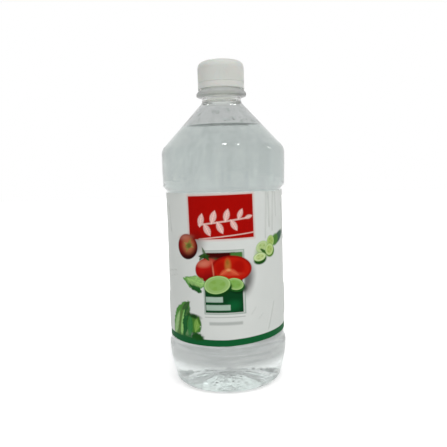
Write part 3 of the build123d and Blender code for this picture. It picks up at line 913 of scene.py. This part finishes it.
def clearPlastic():
    look = plasticLook
    made, tree, shader = newMaterial("clearPlastic")
    point = objectPoint(tree)
    depth, high = put(tree, "SeparateXYZ", point).outputs[1:]
    grain = place(surfaceGrain, Point=point, Fine=0.35, Broad=0.06)
    worn = place(handling, Point=point, Scratches=1.0, Dust=0.6)
    # painted streaks of reflected light in the wall's tint: level ones low down, upright ones round the
    # cone
    level = noise(point, 1.0, 3, (0.05, 0.05, 0.42))
    upright = noise(point, 1.0, 3, (0.24, 0.24, 0.05))
    streak = fade(fade(high, *look["upright"], level, upright), 0.35, 0.65)
    # painted shade and light by height: the tint, which stands in for the grey seen through the wall, is
    # darker low down, about as the body in the cone (thick), lighter in the ring and the neck and near
    # white in the base
    thick = times(fade(high, *look["coneStart"]), fade(high, *look["coneEnd"]))
    tint = blended(streak, look["thin"], look["thinPale"])
    lowInk = blended(streak, look["low"], look["lowTintLit"])
    tint = blended(fade(high, *look["lowEnd"]), tint, lowInk)
    tint = blended(fade(high, *look["neckStart"]), tint, look["neck"])
    tint = blended(thick, tint, look["cone"])
    ring = fade(apart(high, look["ringMiddle"]), *look["ringReach"])
    tint = blended(ring, tint, look["ring"])
    feed(shader["Base Color"], blended(fade(high, *look["baseTop"]), tint, look["base"]))
    # rubbed where the lower bumper and the shoulder corner meet their neighbours on a shelf
    low = fade(apart(high, look["bumper"]), *look["rubReach"])
    corner = fade(apart(high, look["corner"]), *look["rubReach"])
    rubbed = times(calc("MAXIMUM", low, corner), grain["Fine"])
    rough = timesPlus(rubbed, 0.09, timesPlus(grain["Broad"], 0.03, 0.015))
    rough = timesPlus(worn["Scratches"], 0.12, rough)
    # the moulded support ring is cloudy
    feed(shader["Roughness"], timesPlus(ring, look["ringHaze"], rough))
    # height in tenths of a millimetre: soft waves of the blown wall, the parting line of the mould
    # on both sides, and dimples in the base
    body = times(fade(high, *look["wavesEnd"]), look["waves"])
    height = times(noise(point, 0.2, 2, (1.0, 1.0, 1.8)), body)
    height = timesPlus(fade(calc("ABSOLUTE", depth), *look["seamReach"]), look["seam"], height)
    dimples = fade(high, *look["dimplesEnd"], 0.0, look["dimples"])
    height = calc("ADD", height, times(noise(point, 0.45, 1), dimples))
    raised(shader, timesPlus(grain["Fine"], 0.12, height), 1.0, 0.0001)
    fixed(shader, {"Transmission Weight": 1.0, "IOR": 1.57})
    return made


vinegarLook = {"tints": ((0.90, 0.945, 0.95, 1), (0.93, 0.955, 0.95, 1))}


def clearVinegar():
    made, tree, shader = newMaterial("clearVinegar")
    point = objectPoint(tree)
    feed(shader["Base Color"], blended(noise(point, 0.03, 1), *vinegarLook["tints"]))
    fixed(shader, {"Roughness": 0.0, "Transmission Weight": 1.0, "IOR": 1.34})
    return made


capLook = {
    "ink": (207, 209, 204), "inkDeep": (201, 204, 198), "dust": (170, 168, 158),
    "glowEdge": (14.6, 14.3), "glowTop": 209.5, "glowTaper": 0.6,
}


def whiteCap():
    look = capLook
    made, tree, shader = newMaterial("whiteCap")
    point = objectPoint(tree)
    high = put(tree, "SeparateXYZ", point).outputs[2]
    grain = place(surfaceGrain, Point=point, Fine=3.0, Broad=0.15)
    worn = place(handling, Point=point, Scratches=0.8, Dust=0.8)
    ink = blended(grain["Broad"], inkOf(*look["ink"]), inkOf(*look["inkDeep"]))
    ink = blended(times(worn["Dust"], 0.25), ink, inkOf(*look["dust"]))
    feed(shader["Base Color"], ink)
    # light comes through the moulding, so the inside of its cup glows: where the distance from the
    # axis is under the glow's edge, which draws in above the glow's top
    over = calc("MAXIMUM", minus(high, look["glowTop"]), 0.0)
    within = fade(timesPlus(over, look["glowTaper"], fromAxis(point)), *look["glowEdge"])
    feed(shader["Emission Color"], blended(within, (0, 0, 0, 1), ink))
    rough = timesPlus(grain["Fine"], 0.12, 0.34)
    feed(shader["Roughness"], timesPlus(worn["Scratches"], 0.2, rough))
    raised(shader, grain["Fine"], 0.4, 0.00002)
    fixed(shader, {"Emission Strength": 0.7, "IOR": 1.5, "Subsurface Weight": 0.15,
                   "Subsurface Scale": 0.002})
    return made


clear, liquid = clearPlastic(), clearVinegar()
finishes = [
    (bottleShell, clear, "bottle", ["bottle"]),
    (vinegarFill, liquid, "vinegar", ["vinegar"]),
    (labelWrap, labelFilm(), "label", ["label"]),
    (cap, whiteCap(), "cap", ["cap"]),
    (drops, liquid, "vinegar", []),
]
for piece, finish, slot, nodes in finishes:
    piece.data.materials.append(finish)
    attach(piece, "root")
    if nodes:
        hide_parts(*nodes)
print("materials made and pieces placed")


studio = {
    "floorSize": 6.0, "floorInk": 0.86, "floorGlow": 0.5, "floorThrough": 0.95, "ambient": 0.42,
    "eye": (0.0, -0.3518, 0.1386), "pitch": 5.77, "roll": -1.619, "lens": 41.73,
    "shiftX": -0.0034, "shiftY": 0.0087, "target": (0.0, 0.0, 0.11), "glowReach": (120, 600),
}

# azimuth and elevation (0 is in front), distance, width, height, watts and whether it shows as a glint
lamps = {
    "keyRight": (38, 22, 1.3, 0.6, 0.7, 5.4, False),
    "fillLeft": (-55, 20, 1.5, 0.8, 0.8, 4.6, False),
    "stripFront": (6, 66, 1.2, 0.10, 0.16, 1.6, True),
    "glintRight": (44, 60, 1.4, 0.10, 0.16, 0.9, True),
    **{f"glintBack{i}": (*way, 1.2, 0.05, 0.05, 0.09, True)
       for i, way in enumerate([(172, 37), (184, 34), (191, 39), (203, 35)])},
    "streakRight": (98, 22, 1.3, 0.03, 0.35, 0.25, True),
    "backSoft": (180, 25, 1.5, 0.9, 0.8, 2.6, False),
    "topSoft": (0, 85, 1.4, 1.0, 1.0, 0.5, False),
}


def seenDirectly(tree):
    # 1 where a camera, mirror or glass ray looks, 0 for the light that reaches a surface
    path = put(tree, "LightPath")
    seen = calc("ADD", path.outputs["Is Camera Ray"], path.outputs["Is Glossy Ray"])
    return calc("MINIMUM", calc("ADD", seen, path.outputs["Is Transmission Ray"]), 1.0)


def makeFloor():
    half = studio["floorSize"] / 2
    corners = np.array([[-1, -1, 0], [1, -1, 0], [1, 1, 0], [-1, 1, 0]]) * half / mm
    floor = meshPiece("studioFloor", corners, [[0, 1, 2, 3]])
    made, tree, shader = newMaterial("paleFloor")
    grain = place(surfaceGrain, Point=objectPoint(tree), Fine=0.4, Broad=0.01)
    tone = studio["floorInk"]
    warmer = (tone * 0.99, tone * 0.99, tone * 0.985, 1)
    feed(shader["Base Color"], blended(grain["Broad"], (tone, tone, tone, 1), warmer))
    fixed(shader, {"Roughness": 0.9, "Specular IOR Level": 0.1, "Emission Color": (1, 1, 1, 1)})
    # it glows only for rays that look at it: softly near the object, where its shadow lies, up to
    # white further out; through glass it is plain white paper
    glow = fade(fromAxis(objectPoint(tree)), *studio["glowReach"], studio["floorGlow"], 1.0)
    feed(shader["Emission Strength"], times(seenDirectly(tree), glow))
    paper = put(tree, "Emission", (1, 1, 1, 1), studio["floorThrough"]).outputs[0]
    through = put(tree, "LightPath").outputs["Is Transmission Ray"]
    both = put(tree, "MixShader", through, tree.nodes["Principled BSDF"].outputs[0], paper)
    tree.links.new(both.outputs[0], tree.nodes["Material Output"].inputs["Surface"])
    floor.data.materials.append(made)


def makeWorld():
    world = bpy.data.worlds.new("studioWorld")
    scene.world = world
    world.use_nodes = True
    tree = world.node_tree
    light = studio["ambient"]
    tone = blended(seenDirectly(tree), (light, light, light, 1), (1, 1, 1, 1))
    feed(tree.nodes["Background"].inputs["Color"], tone)


def softbox(name, azimuth, elevation, distance, width, height, watts, mirrored):
    # a panel of light in that direction from the target, facing it
    a, e = np.radians(azimuth), np.radians(elevation)
    way = np.array([np.sin(a) * np.cos(e), -np.cos(a) * np.cos(e), np.sin(e)])
    data = bpy.data.lights.new(name, "AREA")
    data.shape = "RECTANGLE"
    data.size, data.size_y = width, height
    data.energy = watts
    lamp = bpy.data.objects.new(name, data)
    scene.collection.objects.link(lamp)
    turn = Vector(way).to_track_quat("Z", "Y").to_matrix().to_4x4()
    lamp.matrix_world = Matrix.Translation(np.array(studio["target"]) + way * distance) @ turn
    lamp.visible_camera = False
    lamp.visible_glossy = mirrored  # whether it shows as a glint
    lamp.visible_transmission = mirrored


makeFloor()
makeWorld()
for name, values in lamps.items():
    softbox(name, *values)

camera = bpy.data.objects.new("camera", bpy.data.cameras.new("camera"))
scene.collection.objects.link(camera)
camera.data.lens = studio["lens"]
camera.data.sensor_width = 36
camera.data.shift_x, camera.data.shift_y = studio["shiftX"], studio["shiftY"]
tilt = Matrix.Rotation(np.radians(90 - studio["pitch"]), 4, "X")
camera.matrix_world = (Matrix.Translation(studio["eye"]) @ tilt
                       @ Matrix.Rotation(np.radians(studio["roll"]), 4, "Z"))
camera.data.clip_start = 0.01
scene.camera = camera
scene.view_settings.view_transform = "Standard"
# light passes many skins of plastic and vinegar before it leaves the neck and the base
scene.cycles.max_bounces = 28
scene.cycles.transmission_bounces = 28
print("studio made")
